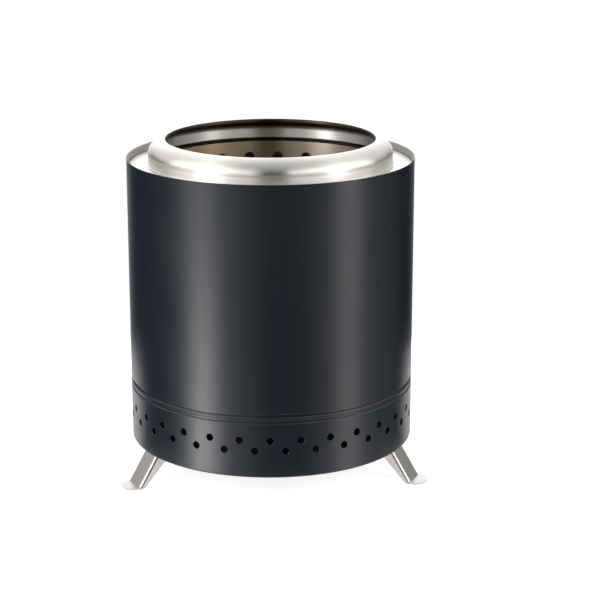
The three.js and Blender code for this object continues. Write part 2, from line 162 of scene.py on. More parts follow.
class PitChamberSizes(bpy.types.PropertyGroup):
    """Sizes of the burn chamber, the flame ring, the fuel grate and the ash pan"""

    radius: length("Chamber radius", "Outside of the burn chamber", 73.7 * MM)
    sheet: length("Chamber sheet", "Thickness of the burn chamber and the flame ring", 0.8 * MM)
    ledge_radius: length("Ledge radius", "Open floor of the chamber", 58.5 * MM)
    ledge_bend: length("Ledge bend", "Round of the ledge at its collar", 1.5 * MM)
    hole_radius: length("Air hole radius", "Secondary-air holes below the deck", 3.5 * MM)
    holes: count("Air holes", "Secondary-air holes round the chamber", 24)
    hole_drop: length("Air hole drop", "How far the holes lie below the drum's rim", 15.4 * MM)
    hole_turn: angle("Air hole turn", "Azimuth of the first air hole", 8.8)
    ring_radius: length("Ring radius", "Outside of the flame ring's wall", 76.5 * MM)
    ring_foot: length("Ring foot", "Width of the ring's turned-out foot", 0.9 * MM)
    ring_seat: length("Ring seat", "How far the foot closes the gap over the deck", 0.25 * MM)
    ring_foot_bend: length("Ring foot bend", "Inside radius of the foot's bend", 0.6 * MM)
    ring_band: length("Ring band", "Height of the ring's lower band", 5.5 * MM)
    ring_crease: length("Ring crease", "Depth of the crease above the band", 0.08 * MM)
    ring_crease_half: length("Crease half", "Half the height of the crease", 1.2 * MM)
    ring_wall: length("Ring wall", "Height of the straight wall above the crease", 1.5 * MM)
    ring_shoulder: length("Ring shoulder", "Half width of the shoulder's ellipse", 19.5 * MM)
    ring_dome: length("Ring dome", "Half height of the shoulder's ellipse", 9.944 * MM)
    ring_dome_end: angle("Dome end", "Where the lip's roll takes over from the ellipse", 60)
    ring_lip: length("Ring lip", "Radius of the lip rolled in at the mouth", 1.2 * MM)
    ring_lip_depth: length("Lip depth", "How far the lip runs down inside the mouth", 0.8 * MM)
    grate_sheet: length("Grate sheet", "Thickness of the fuel grate", 1 * MM)
    grate_hole: length("Grate holes", "Radius of the holes in the grate", 3.5 * MM)
    grate_play: length("Grate play", "Between the dish and the ledge's edge", 0.5 * MM)
    grate_margin: length("Grate margin", "From the outer row of holes to the dish's wall", 9 * MM)
    finger_hole: length("Finger hole", "Radius of the hole in the grate's middle", 8 * MM)
    pan_sheet: length("Pan sheet", "Thickness of the ash pan", 0.7 * MM)
    pan_rim: length("Pan rim", "Width of the pan's turned-out rim", 1.5 * MM)
    pan_flare: length("Pan flare", "How far the pan's wall leans out", 5 * MM)


class PitLegSizes(bpy.types.PropertyGroup):
    """Sizes of the folding legs, their brackets, pins and rivets"""

    splay: angle("Splay", "Lean of an open leg from upright", 32.5)
    sheet: length("Leg sheet", "Thickness of the legs and brackets", 1.2 * MM)
    width: length("Leg width", "Outside width of the channel", 16.4 * MM)
    bend: length("Leg bend", "Outer radius of the channel's two bends", 2 * MM)
    ear: length("Leg ear", "Radius of the leg's rounded top end", 4.8 * MM)
    tab: length("Foot tab", "Length of the foot tab", 7.088 * MM)
    tab_corner: length("Foot corner", "Corner radius of the foot tab", 7.07 * MM)
    flange: length("Foot flange", "Width of the side flanges at the foot", 2.9 * MM)
    pivot_drop: length("Pivot drop", "From the base plate down to the pivot", 7.8 * MM)
    leg_edge: length("Leg edges", "Radius that a leg's edges are eased to", 0.18 * MM)
    bracket_edge: length("Bracket edges", "Radius that a bracket's edges are eased to", 0.15 * MM)
    bracket_ear: length("Bracket ear", "Radius of the bracket's ears", 3.6 * MM)
    bracket_reach: length("Bracket reach", "From the pivot to the bracket's inner end", 9 * MM)
    pin: length("Pin radius", "Radius of the pivot pin", 1.5 * MM)
    pin_head: length("Pin head", "Radius of the pin's heads", 2.8 * MM)
    pin_dome: length("Pin dome", "Height of the pin's heads", 1.1 * MM)
    rivet: length("Rivet radius", "Radius of a rivet's shank", 1.4 * MM)
    rivet_head: length("Rivet head", "Radius of a rivet's heads", 2.4 * MM)
    rivet_dome: length("Rivet dome", "Height of a rivet's heads", 0.9 * MM)
    rivet_spacing: length("Rivet spacing", "Between a bracket's two rivets", 8.4 * MM)
    rivet_inset: length("Rivet inset", "From the pivot to the rivets", 4.6 * MM)


class PitColours(bpy.types.PropertyGroup):
    """Colours of the pit's finishes"""

    coating: colour("Coating", "Satin black coating of the drum", 0x131921)
    stainless: colour("Stainless", "Spun stainless steel of the ring and deck", 0xEFECE6)
    heated: colour("Heated stainless", "Stainless steel toned by heat", 0xB0A698)
    # Heat scale, which also stands as painted shade on the chamber's floor and grate.
    straw: colour("Straw tint", "The warmest tone of the heated steel", 0xAA9070)
    # This colour is painted shade: it darkens the deck inside the flame ring, the ring's inside,
    # and the chamber's lower wall and upper edge.
    scale: colour("Heat scale", "Heat scale, darkened further as painted shade", 0x57504A)
    painted_shade: colour("Painted shade", "Steel darkened as painted shade", 0x45403B)
    plate: colour("Plate steel", "Plain rolled stainless sheet", 0xB9B8B5)
    leg: colour("Leg steel", "Pressed stainless sheet of the legs", 0xB1AEA8)
    floor: colour("Floor", "Pale floor", 0xF4F4F3)


class PitStage(bpy.types.PropertyGroup):
    """The camera, the lamps and the floor"""

    lens: number("Lens", "Focal length on a sensor 36 mm wide", 109.67, unit="CAMERA")
    camera_place: bpy.props.FloatVectorProperty(
        name="Camera place", description="Where the camera stands", size=3,
        default=(-0.0451, -1.1241, 0.3891), subtype="TRANSLATION", unit="LENGTH")
    camera_turn: bpy.props.FloatVectorProperty(
        name="Camera turn", description="The camera's rotation", size=3,
        default=(radians(74.334), 0, radians(-3.234)), subtype="EULER", unit="ROTATION")
    floor_front: length("Floor front", "How far the floor reaches in front of the axis", 120 * MM)
    floor_back: length("Floor back", "How far the floor reaches behind the axis", 290 * MM)
    floor_lift: number("Floor lift", "Light that the floor adds for what sees it directly", 0.8)
    streak: number("Left streak", "Brightness of the tall lamp on the left", 1.6)
    low_streak: number("Low left streak", "Brightness of the low lamp on the left", 12.6)
    high_streak: number("High left streak", "Brightness of the high lamp on the left", 6.0)
    left_fill: number("Left fill", "Brightness of the broad lamp on the left", 0.5)
    right_streak: number("Right streak", "Brightness of the tall lamp on the right", 3.0)
    right_fill: number("Right fill", "Brightness of the broad lamp on the right", 0.28)
    softbox: number("Softboxes", "Brightness of the wide lamps beside the camera", 1.5)
    sheet: number("Back sheet", "Brightness of the upright sheet behind the pit", 1.3)
    room: number("Room", "Brightness of the pale room", 1.0)


# Materials

# Most values of a noise pattern lie between these two.
NOISE_LOW, NOISE_HIGH = 0.3, 0.7


def add_node(material, kind, inputs=None, **settings):
    """Adds a shader node with its settings. In inputs, a plain value is set on its socket, and
    an output socket is linked to it. A node there stands for its first output in use."""
    node = material.node_tree.nodes.new(kind)
    for name, value in settings.items():
        setattr(node, name, value)
    for name, value in (inputs or {}).items():
        if isinstance(value, bpy.types.Node):
            value = next(output for output in value.outputs if output.enabled)
        if isinstance(value, bpy.types.NodeSocket):
            material.node_tree.links.new(value, node.inputs[name])
        else:
            node.inputs[name].default_value = value
    return node


def new_material(name):
    material = bpy.data.materials.new(name)
    material.use_nodes = True
    material.node_tree.nodes.clear()
    return material


def turned_position(material, around=0.4 * MM):
    """Coordinates for marks that run round the axis: radius, height, and a little of the turn."""
    place = add_node(material, "ShaderNodeTexCoord").outputs["Object"]
    parts = add_node(material, "ShaderNodeSeparateXYZ", {"Vector": place})
    flat = add_node(material, "ShaderNodeCombineXYZ", {
        "X": parts.outputs["X"], "Y": parts.outputs["Y"]})
    radius = add_node(material, "ShaderNodeVectorMath", {0: flat}, operation="LENGTH")
    unit = add_node(material, "ShaderNodeVectorMath", {0: flat}, operation="NORMALIZE")
    drift = add_node(material, "ShaderNodeVectorMath", {0: unit, "Scale": around},
                     operation="SCALE")
    profile = add_node(material, "ShaderNodeCombineXYZ", {
        "X": radius, "Z": parts.outputs["Z"]})
    return add_node(material, "ShaderNodeVectorMath", {0: profile, 1: drift},
                    operation="ADD"), place


def patterned(material, position, size, low, high, detail=2.0):
    """A noise pattern whose features have about this size, and a value that follows it from low
    to high."""
    noise = add_node(material, "ShaderNodeTexNoise", {
        "Vector": position, "Scale": 1 / size, "Detail": detail})
    return noise, add_node(material, "ShaderNodeMapRange", {
        "Value": noise, "From Min": NOISE_LOW, "From Max": NOISE_HIGH,
        "To Min": low, "To Max": high})


def painted_shade_where(material, operation, *passages):
    """Where painted shade lies. Each passage is a value that goes softly from unshaded to shaded
    between two limits, and the operation combines the two passages."""
    first, second = [
        add_node(material, "ShaderNodeMapRange", {
            "Value": value, "From Min": unshaded, "From Max": shaded},
            interpolation_type="SMOOTHSTEP")
        for value, unshaded, shaded in passages
    ]
    return add_node(material, "ShaderNodeMath", {0: first, 1: second}, operation=operation)


def surfaced(material, inputs, relief=None, marks_run_round=False):
    """Closes a material with its surface. relief holds a pattern that stands out, its strength
    and its depth. Marks that run round the axis draw highlights out across them."""
    if relief:
        pattern, strength, depth = relief
        inputs = {**inputs, "Normal": add_node(material, "ShaderNodeBump", {
            "Height": pattern, "Strength": strength, "Distance": depth})}
    if marks_run_round:
        tangent = add_node(material, "ShaderNodeTangent", direction_type="RADIAL", axis="Z")
        inputs = {**inputs, "Anisotropic": 0.85, "Anisotropic Rotation": 0.25,
                  "Tangent": tangent}
    surface = add_node(material, "ShaderNodeBsdfPrincipled", inputs)
    add_node(material, "ShaderNodeOutputMaterial", {"Surface": surface})
    return material


def black_silicone_coating(colours):
    """Heat-resistant silicone paint, sprayed on sheet steel: near black with a blue cast, a
    satin sheen, and a faint orange peel that softens the edges of reflections."""
    material = new_material("silicone_paint_sprayed_satin_black")
    place = add_node(material, "ShaderNodeTexCoord").outputs["Object"]
    # Orange peel of sprayed paint, about 1.6 mm from crest to crest.
    peel = add_node(material, "ShaderNodeTexNoise", {"Vector": place, "Scale": 1 / (1.6 * MM)})
    # Drifts in the film's sheen, about 35 mm across, where the spray overlapped.
    _, sheen = patterned(material, place, 35 * MM, 0.34, 0.38)
    return surfaced(material, {
        "Base Color": colours.coating, "Roughness": sheen, "IOR": 1.5},
        relief=(peel, 0.05, 0.02 * MM))


def spun_stainless(colours):
    """Stainless steel 304, spun on a lathe and brushed while turning: bright, with fine rings
    round the axis that draw highlights out across them."""
    material = new_material("stainless_304_spun_satin")
    rings, place = turned_position(material)
    # Turning marks are about 0.05 mm apart; drawn at 0.35 mm so that they show.
    marks, grain = patterned(material, rings, 0.35 * MM, 0.31, 0.38, detail=3.0)
    # Finger-wide drifts in the polish.
    _, polish = patterned(material, place, 18 * MM, 0.0, 0.05)
    rough = add_node(material, "ShaderNodeMath", {0: grain, 1: polish}, operation="ADD")
    # Painted shade on the strip of the deck that the flame ring covers: darker inside 76.4 mm from
    # the axis, at the deck's top.
    spot = add_node(material, "ShaderNodeSeparateXYZ", {"Vector": rings})
    painted_shade = painted_shade_where(material, "MULTIPLY", (spot.outputs["X"], 77.2 * MM, 76.4 * MM),
                      (spot.outputs["Z"], DECK_TOP + 0.25 * MM, DECK_TOP))
    tone = add_node(material, "ShaderNodeMix", {
        "Factor": painted_shade, "A": colours.stainless, "B": colours.painted_shade}, data_type="RGBA")
    # The painted shade also darkens the sheen that steel has at a low angle.
    sheen = add_node(material, "ShaderNodeMix", {
        "Factor": painted_shade, "A": WHITE, "B": colours.painted_shade}, data_type="RGBA")
    return surfaced(material, {
        "Base Color": tone, "Metallic": 1.0, "Specular Tint": sheen, "Roughness": rough},
        relief=(marks, 0.08, 0.01 * MM), marks_run_round=True)


def painted_shade_stainless(colours):
    """The inside of the spun ring: bare steel with painted shade, darker under the shoulder and
    in the corner over the foot."""
    material = new_material("stainless_304_spun_sooted")
    rings, place = turned_position(material)
    # The same turning marks as outside.
    _, grain = patterned(material, rings, 0.35 * MM, 0.31, 0.38, detail=3.0)
    height = add_node(material, "ShaderNodeSeparateXYZ", {"Vector": place}).outputs["Z"]
    # Painted shade: darker from 7 mm above the foot up under the shoulder, and within 2 mm of the
    # foot.
    painted_shade = painted_shade_where(material, "MAXIMUM", (height, RING_FOOT + 7 * MM, RING_FOOT + 10.5 * MM),
                      (height, RING_FOOT + 2 * MM, RING_FOOT + 1.4 * MM))
    tone = add_node(material, "ShaderNodeMix", {
        "Factor": painted_shade, "A": colours.stainless, "B": colours.painted_shade}, data_type="RGBA")
    return surfaced(material, {"Base Color": tone, "Metallic": 1.0, "Roughness": grain},
                    marks_run_round=True)


def heated_stainless(colours):
    """Stainless steel 430, rolled, and toned by heat: grey with straw-coloured clouds and the
    fine streaks of the rolling, and painted shade that darkens it towards the bottom and along its
    upper edge."""
    material = new_material("stainless_430_rolled_heat_toned")
    streaks, place = turned_position(material)
    # Rolling streaks, drawn at 0.4 mm so that they show.
    marks, grain = patterned(material, streaks, 0.4 * MM, 0.38, 0.48, detail=3.0)
    # Clouds of heat tint, about 30 mm across.
    _, tint = patterned(material, place, 30 * MM, 0.0, 1.0, detail=4.0)
    tone = add_node(material, "ShaderNodeMix", {
        "Factor": tint, "A": colours.heated, "B": colours.straw}, data_type="RGBA")
    # Painted shade, darker towards the bottom: it fades out over the 50 mm below the air holes,
    # and it also lies on the upper edge.
    height = add_node(material, "ShaderNodeSeparateXYZ", {"Vector": place}).outputs["Z"]
    painted_shade = painted_shade_where(material, "MAXIMUM", (height, 130 * MM, 80 * MM),
                      (height, DECK_TOP - 0.3 * MM, DECK_TOP - 0.1 * MM))
    shaded = add_node(material, "ShaderNodeMix", {
        "Factor": painted_shade, "A": tone, "B": colours.painted_shade}, data_type="RGBA")
    # The painted shade also darkens the steel's sheen at a low angle.
    sheen = add_node(material, "ShaderNodeMix", {
        "Factor": painted_shade, "A": WHITE, "B": colours.painted_shade}, data_type="RGBA")
    return surfaced(material, {
        "Base Color": shaded, "Metallic": 1.0, "Specular Tint": sheen, "Roughness": grain},
        relief=(marks, 0.1, 0.01 * MM), marks_run_round=True)


def scale_and_shade_stainless(colours):
    """Stainless steel 430 that has lain under embers: a dark, dull oxide with paler and darker
    patches, which takes the shine off the floor of the chamber. Its dark tone is also painted
    shade there."""
    material = new_material("stainless_430_rolled_heat_scaled")
    place = add_node(material, "ShaderNodeTexCoord").outputs["Object"]
    # Oxide patches, about 12 mm across, mixed with near black as painted shade.
    _, scale = patterned(material, place, 12 * MM, 0.55, 1.0, detail=4.0)
    tone = add_node(material, "ShaderNodeMix", {
        "Factor": scale, "A": (0.01, 0.01, 0.01, 1.0), "B": colours.scale}, data_type="RGBA")
    # The scale's own grit, drawn at 0.8 mm so that it shows.
    grit, rough = patterned(material, place, 0.8 * MM, 0.5, 0.62, detail=3.0)
    return surfaced(material, {"Base Color": tone, "Metallic": 1.0, "Roughness": rough},
                    relief=(grit, 0.2, 0.03 * MM))


def brushed_sheet(name, tone, low, high, along_legs=False):
    """Stainless steel sheet, rolled and brushed one way before pressing: a soft grey sheen with
    hairlines along the sheet, and a roughness from low to high."""
    material = new_material(name)
    # Hairlines 25 times longer than they are wide, drawn at 0.3 mm so that they show. They run
    # up the sheet. In the legs, which stand about 80 mm from the axis, they run outwards and
    # down, and a large share of the turn draws them 7.5 mm long and as narrow.
    if along_legs:
        lines, size = turned_position(material, 2000 * MM)[0], 7.5 * MM
    else:
        place = add_node(material, "ShaderNodeTexCoord").outputs["Object"]
        lines = add_node(material, "ShaderNodeMapping", {
            "Vector": place, "Scale": (1.0, 1.0, 0.04)})
        size = 0.3 * MM
    marks, rough = patterned(material, lines, size, low, high, detail=3.0)
    return surfaced(material, {"Base Color": tone, "Metallic": 1.0, "Roughness": rough},
                    relief=(marks, 0.03, 0.01 * MM))


FINISHES = {}


def finish_named(name):
    """The named finish, made once."""
    colours = bpy.context.scene.pit_colours
    makers = {
        "black_coating": lambda: black_silicone_coating(colours),
        "satin_stainless": lambda: spun_stainless(colours),
        "heated_stainless": lambda: heated_stainless(colours),
        "scale_and_shade_stainless": lambda: scale_and_shade_stainless(colours),
        "painted_shade_stainless": lambda: painted_shade_stainless(colours),
        "plate_steel": lambda: brushed_sheet(
            "stainless_430_rolled_plain", colours.plate, 0.34, 0.44),
        "leg_stainless": lambda: brushed_sheet(
            "stainless_304_pressed_brushed", colours.leg, 0.24, 0.32, along_legs=True),
    }
    if name not in FINISHES:
        FINISHES[name] = makers[name]()
    return FINISHES[name]


# Shapes


def ellipse(centre, width, height, start, end, steps):
    """Points on an ellipse with these half sizes, from start to end in degrees."""
    turns = [radians(start + (end - start) * step / steps) for step in range(steps + 1)]
    return [(centre[0] + width * cos(turn), centre[1] + height * sin(turn)) for turn in turns]


def arc(centre, radius, start, end, steps):
    """Points on an arc, from start to end in degrees."""
    return ellipse(centre, radius, radius, start, end, steps)


def eased(corners, radius, steps=3):
    """An outline whose corners are rounded. A corner may carry a radius of its own."""
    points = []
    total = len(corners)
    for index, corner in enumerate(corners):
        here = Vector(corner[:2])
        before = Vector(corners[index - 1][:2]) - here
        after = Vector(corners[(index + 1) % total][:2]) - here
        wanted = corner[2] if len(corner) > 2 else radius
        if wanted <= 0 or before.length == 0 or after.length == 0:
            points.append(tuple(here))
            continue
        half = before.angle(after) / 2
        reach = min(wanted / tan(half), before.length * CORNER_SHARE,
                    after.length * CORNER_SHARE)
        start = here + before.normalized() * reach
        end = here + after.normalized() * reach
        inwards = (before.normalized() + after.normalized()).normalized()
        middle = here + inwards * (reach / cos(half))
        sweep = (start - middle).angle_signed(end - middle)
        first = start - middle
        for step in range(steps + 1):
            turn = -sweep * step / steps
            points.append((middle.x + first.x * cos(turn) - first.y * sin(turn),
                           middle.y + first.x * sin(turn) + first.y * cos(turn)))
    return points


def object_from(name, shape):
    mesh = bpy.data.meshes.new(name)
    bmesh.ops.recalc_face_normals(shape, faces=shape.faces)
    shape.to_mesh(mesh)
    shape.free()
    piece = bpy.data.objects.new(name, mesh)
    bpy.context.scene.collection.objects.link(piece)
    return piece


def turned(name, outline, steps):
    """A piece turned about Z from a closed outline of (radius, height) points."""
    shape = bmesh.new()
    rows = []
    for radius, height in outline:
        if radius <= 0:
            rows.append([shape.verts.new((0, 0, height))] * steps)
        else:
            rows.append([shape.verts.new((radius * cos(turn), radius * sin(turn), height))
                         for turn in (2 * pi * step / steps for step in range(steps))])
    for here, there in zip(rows, rows[1:] + rows[:1]):
        for step in range(steps):
            corners = [here[step - 1], here[step], there[step], there[step - 1]]
            corners = list(dict.fromkeys(corners))
            if len(corners) > 2:
                shape.faces.new(corners)
    return object_from(name, shape)


def extruded(name, outline, height):
    """A prism from a closed outline of (x, y) points, up from z = 0."""
    shape = bmesh.new()
    lower = [shape.verts.new((x, y, 0)) for x, y in outline]
    upper = [shape.verts.new((x, y, height)) for x, y in outline]
    shape.faces.new(lower)
    shape.faces.new(upper)
    for index in range(len(outline)):
        shape.faces.new((lower[index - 1], lower[index], upper[index], upper[index - 1]))
    return object_from(name, shape)


def moved(piece, matrix):
    piece.data.transform(matrix)
    return piece


def settle(piece):
    """Applies a piece's modifiers to its mesh."""
    bpy.context.view_layer.update()
    graph = bpy.context.evaluated_depsgraph_get()
    mesh = bpy.data.meshes.new_from_object(piece.evaluated_get(graph))
    piece.modifiers.clear()
    old = piece.data
    piece.data = mesh
    bpy.data.meshes.remove(old)
    return piece


def combined(piece, other, operation):
    """Cuts, joins or intersects a piece with another, which is used up."""
    step = piece.modifiers.new(operation.lower(), "BOOLEAN")
    step.operation = operation
    step.solver = "EXACT"
    step.object = other
    settle(piece)
    bpy.data.objects.remove(other)
    return piece


def joined(name, pieces):
    """Several separate shapes as one object."""
    shape = bmesh.new()
    for piece in pieces:
        shape.from_mesh(piece.data)
        bpy.data.objects.remove(piece)
    return object_from(name, shape)


def drill(radius, depth, flare=0.0):
    """A round cutter along Z, centred on the origin. flare eases the edge of the hole that it
    makes in a sheet as thick as depth."""
    reach = depth / 2 + CUT_OVERRUN
    outline = [(0, -reach), (radius + flare, -reach)]
    if flare > 0:
        outline += [(radius + flare, -depth / 2), (radius, flare - depth / 2),
                    (radius, depth / 2 - flare), (radius + flare, depth / 2)]
    outline += [(radius + flare, reach), (0, reach)]
    return turned("drill", outline, HOLE_SIDES)


def azimuth_turn(azimuth):
    """Turns something on the X axis to an azimuth, both in radians."""
    return Matrix.Rotation(azimuth - pi / 2, 4, "Z")


def radial_drill(radius, depth, distance, azimuth, height, flare=0.0):
    tool = drill(radius, depth, flare)
    lie = Matrix.Translation((distance, 0, height)) @ Matrix.Rotation(pi / 2, 4, "Y")
    return moved(tool, azimuth_turn(azimuth) @ lie)


def softened(piece, width):
    """Eases the sharp edges of a pressed or cut piece."""
    bevel = piece.modifiers.new("eased_edges", "BEVEL")
    bevel.width = width
    bevel.segments = 3
    bevel.limit_method = "ANGLE"
    bevel.angle_limit = SMOOTH_ANGLE
    bevel.use_clamp_overlap = True
    return settle(piece)


def finished(piece, node, finish, body, inside=None):
    """Gives a piece its finish, its place in the frame and its smooth surfaces. inside names
    another finish for the faces of a turned piece that look towards the axis or down."""
    mesh = piece.data
    for face in mesh.polygons:
        face.use_smooth = True
    mesh.set_sharp_from_angle(angle=SMOOTH_ANGLE)
    normals = piece.modifiers.new("even_normals", "WEIGHTED_NORMAL")
    normals.keep_sharp = True
    normals.weight = 100
    settle(piece)
    piece.data.materials.clear()
    piece.data.materials.append(finish_named(finish))
    if inside:
        piece.data.materials.append(finish_named(inside))
        for face in piece.data.polygons:
            outwards = face.normal.x * face.center.x + face.normal.y * face.center.y
            inwards = outwards < INWARD_LEAN * face.center.xy.length
            face.material_index = int(inwards or face.normal.z < DOWNWARD_LEAN)
    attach(piece, body)
    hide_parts(node)


# Pieces of the drum


class PIT_OT_outer_shell(bpy.types.Operator):
    """Build the painted drum wall above the seam"""

    bl_idname = "pit.outer_shell"
    bl_label = "Outer shell"

    def execute(self, context):
        drum = context.scene.pit_drum
        inner = drum.radius - drum.sheet
        outline = eased([
            (inner, drum.shell_foot),
            (drum.radius, drum.shell_foot),
            (drum.radius, drum.rim),
            (inner, drum.rim),
        ], drum.edge)
        shell = turned("shell_wall", outline, DRUM_STEPS)
        finished(shell, "outer_shell", "black_coating", "drum", inside="plate_steel")
        return {"FINISHED"}


class PIT_OT_base_band(bpy.types.Operator):
    """Build the painted base band with its hem, its seam and its air vents"""

    bl_idname = "pit.base_band"
    bl_label = "Base band"

    def execute(self, context):
        drum = context.scene.pit_drum
        hem_height = drum.skirt_edge + drum.hem_radius
        hem_inner = drum.hem_radius - drum.sheet
        tip = drum.radius - drum.hem_radius
        inner = drum.radius - drum.sheet
        wall_top = drum.skirt_edge + drum.band_wall
        shoulder = (drum.radius - drum.shoulder, wall_top - drum.shoulder)
        floor = drum.radius - drum.groove_depth
        bead_middle = wall_top + drum.groove_width + drum.bead / 2
        bead = [(floor + drum.groove_depth * out, bead_middle + drum.bead / 2 * up)
                for out, up in arc((0, 0), 1, -90, 90, 10)]
        liner = inner - GAP
        outline = [
            *arc((tip, hem_height), drum.hem_radius, -90, 0, 8),
            *arc(shoulder, drum.shoulder, 0, 60, 5),
            (floor, wall_top),
            *bead,
            (liner, bead_middle + drum.bead / 2),
            (liner, drum.shell_foot + drum.neck),
            (liner - drum.sheet, drum.shell_foot + drum.neck),
            (liner - drum.sheet, wall_top),
            (inner, wall_top - drum.bead),
            *arc((tip, hem_height), hem_inner, 0, -90, 6),
        ]
        band = turned("vented_band", outline, DRUM_STEPS)
        pitch = 2 * pi / drum.vents
        rows = [(drum.vent_turn, drum.vent_high), (drum.vent_turn + pitch / 2, drum.vent_low)]
        drills = [
            radial_drill(drum.vent_radius, drum.sheet, drum.radius - drum.sheet / 2,
                         first + vent * pitch, drum.skirt_edge + height, drum.edge)
            for vent in range(drum.vents) for first, height in rows
        ]
        combined(band, joined("vent_drills", drills), "DIFFERENCE")
        finished(band, "base_band", "black_coating", "drum")
        return {"FINISHED"}


class PIT_OT_deck_ring(bpy.types.Operator):
    """Build the bare steel deck between the drum wall and the burn chamber"""

    bl_idname = "pit.deck_ring"
    bl_label = "Deck ring"

    def execute(self, context):
        drum = context.scene.pit_drum
        outer = drum.radius - drum.sheet - GAP
        inner = context.scene.pit_chamber.radius + GAP
        low = drum.deck_top - drum.deck_sheet
        outline = eased([
            (outer - drum.deck_sheet, drum.deck_top - drum.deck_collar),
            (outer, drum.deck_top - drum.deck_collar),
            (outer, drum.deck_top, drum.deck_sheet),
            (inner, drum.deck_top, drum.deck_sheet),
            (inner, drum.deck_top - drum.deck_inner_collar),
            (inner + drum.deck_sheet, drum.deck_top - drum.deck_inner_collar),
            (inner + drum.deck_sheet, low),
            (outer - drum.deck_sheet, low),
        ], drum.edge)
        deck = turned("deck", outline, DRUM_STEPS)
        finished(deck, "deck_ring", "satin_stainless", "drum")
        return {"FINISHED"}


class PIT_OT_base_plate(bpy.types.Operator):
    """Build the base plate with its collar and its rivet holes"""

    bl_idname = "pit.base_plate"
    bl_label = "Base plate"

    def execute(self, context):
        drum = context.scene.pit_drum
        legs = context.scene.pit_legs
        outer = drum.radius - drum.sheet - GAP
        outline = eased([
            (0, 0, 0),
            (outer - drum.plate_sheet, 0),
            (outer - drum.plate_sheet, -drum.plate_collar),
            (outer, -drum.plate_collar),
            (outer, drum.plate_sheet, drum.plate_sheet),
            (0, drum.plate_sheet, 0),
        ], drum.edge)
        plate = turned("floor_plate", outline, DRUM_STEPS)
        drills = [
            moved(drill(legs.rivet + BORE_PLAY, drum.plate_sheet),
                  azimuth_turn(azimuth) @ Matrix.Translation(place))
            for azimuth in LEG_AZIMUTHS.values()
            for place in rivet_places(legs, leg_pivot(legs).x, drum.plate_sheet / 2)
        ]
        combined(plate, joined("rivet_drills", drills), "DIFFERENCE")
        finished(plate, "base_plate", "black_coating", "drum")
        return {"FINISHED"}


# Pieces of the burn chamber


class PIT_OT_burn_chamber(bpy.types.Operator):
    """Build the burn chamber's wall with its secondary-air holes"""

    bl_idname = "pit.burn_chamber"
    bl_label = "Burn chamber"

    def execute(self, context):
        drum = context.scene.pit_drum
        chamber = context.scene.pit_chamber
        inner = chamber.radius - chamber.sheet
        wall = turned("chamber_wall", eased([
            (inner, CHAMBER_FOOT),
            (chamber.radius, CHAMBER_FOOT),
            (chamber.radius, drum.deck_top),
            (inner, drum.deck_top),
        ], drum.edge), DRUM_STEPS)
        drills = [
            radial_drill(chamber.hole_radius, chamber.sheet, chamber.radius - chamber.sheet / 2,
                         chamber.hole_turn + 2 * pi * hole / chamber.holes,
                         drum.rim - chamber.hole_drop, drum.edge)
            for hole in range(chamber.holes)
        ]
        combined(wall, joined("air_hole_drills", drills), "DIFFERENCE")
        finished(wall, "burn_chamber", "heated_stainless", "drum")
        return {"FINISHED"}


class PIT_OT_chamber_floor(bpy.types.Operator):
    """Build the ledge round the chamber's open floor, which the grate rests on"""

    bl_idname = "pit.chamber_floor"
    bl_label = "Chamber floor"

    def execute(self, context):
        drum = context.scene.pit_drum
        chamber = context.scene.pit_chamber
        collar = chamber.radius - chamber.sheet - GAP
        low = LEDGE_TOP - chamber.sheet
        ledge = turned("chamber_ledge", eased([
            (chamber.ledge_radius, low),
            (collar - chamber.sheet, low),
            (collar - chamber.sheet, CHAMBER_FOOT),
            (collar, CHAMBER_FOOT),
            (collar, LEDGE_TOP, chamber.ledge_bend),
            (chamber.ledge_radius, LEDGE_TOP),
        ], drum.edge, 5), RING_STEPS)
        # The ledge takes the heat scale, darkened as painted shade.
        finished(ledge, "chamber_floor", "scale_and_shade_stainless", "drum")
        return {"FINISHED"}


class PIT_OT_flame_ring(bpy.types.Operator):
    """Build the spun flame ring with its crease, its round shoulder and its rolled lip"""

    bl_idname = "pit.flame_ring"
    bl_label = "Flame ring"

    def execute(self, context):
        ring = context.scene.pit_chamber
        wall = ring.ring_radius
        inner = wall - ring.sheet
        crease = RING_FOOT + ring.ring_band
        half = ring.ring_crease_half
        shoulder = (wall - ring.ring_shoulder, crease + ring.ring_wall)
        across = ring.ring_shoulder * cos(ring.ring_dome_end)
        up = ring.ring_dome * sin(ring.ring_dome_end)
        lip_start = atan2(up / ring.ring_dome ** 2, across / ring.ring_shoulder ** 2)
        lip = (shoulder[0] + across - ring.ring_lip * cos(lip_start),
               shoulder[1] + up - ring.ring_lip * sin(lip_start))
        inner_lip = ring.ring_lip - ring.sheet
        end = degrees(ring.ring_dome_end)
        dent = [(ring.ring_crease * (1 + cos(pi * share)) / 2, half * share)
                for share in (-1, -0.6, -0.3, 0, 0.3, 0.6, 1)]
        seat = RING_FOOT - ring.ring_seat
        foot_bend = (wall + ring.ring_foot_bend, seat + ring.sheet + ring.ring_foot_bend)
        outline = [
            *arc(foot_bend, ring.sheet + ring.ring_foot_bend, 180, 270, 8),
            (wall + ring.ring_foot, seat),
            (wall + ring.ring_foot, seat + ring.sheet),
            *arc(foot_bend, ring.ring_foot_bend, 270, 180, 6),
            *((wall - depth, crease + rise) for depth, rise in dent),
            *ellipse(shoulder, ring.ring_shoulder, ring.ring_dome, 0, end, 24),
            *arc(lip, ring.ring_lip, degrees(lip_start), 180, 8)[1:],
            (lip[0] - ring.ring_lip, lip[1] - ring.ring_lip_depth),
            (lip[0] - inner_lip, lip[1] - ring.ring_lip_depth),
            *arc(lip, inner_lip, 180, degrees(lip_start), 5)[:-2],
            *ellipse(shoulder, ring.ring_shoulder - ring.sheet, ring.ring_dome - ring.sheet,
                     end, 0, 16),
        ]
        piece = turned("spun_flame_ring", outline, DRUM_STEPS)
        # The ring's inside takes the steel with painted shade.
        finished(piece, "flame_ring", "satin_stainless", "ring", inside="painted_shade_stainless")
        return {"FINISHED"}


